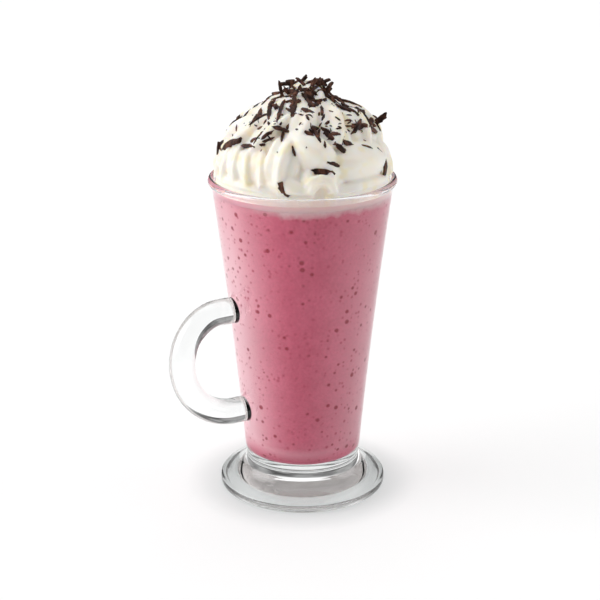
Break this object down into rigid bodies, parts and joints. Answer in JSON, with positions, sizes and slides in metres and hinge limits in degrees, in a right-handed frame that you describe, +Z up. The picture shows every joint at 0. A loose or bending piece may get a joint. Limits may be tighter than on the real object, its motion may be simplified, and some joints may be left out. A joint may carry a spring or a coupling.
{
  "type": "iced berry drink in a footed glass with whipped cream",
  "caption": "Tall footed handled glass of creamy pink berry drink, heaped with piped whipped cream and dark chocolate shavings.",
  "frame": {"origin": "centre of the glass's flat base, where it meets the table", "axes": "+Z up along the glass's axis; the handle is on the -X side, and the shown side faces between -X and -Y"},
  "size_m": [0.1097, 0.0852, 0.1953],
  "materials": {
    "clear_glass": "clear, polished",
    "berry_drink": "creamy pink with dark red flecks",
    "whipped_cream": "soft white, piped",
    "dark_chocolate": "dark brown, shaved"
  },
  "bodies": {
    "root": {"glass": "clear_glass", "drink": "berry_drink", "whipped_cream": "whipped_cream"}
  },
  "joints": []
}
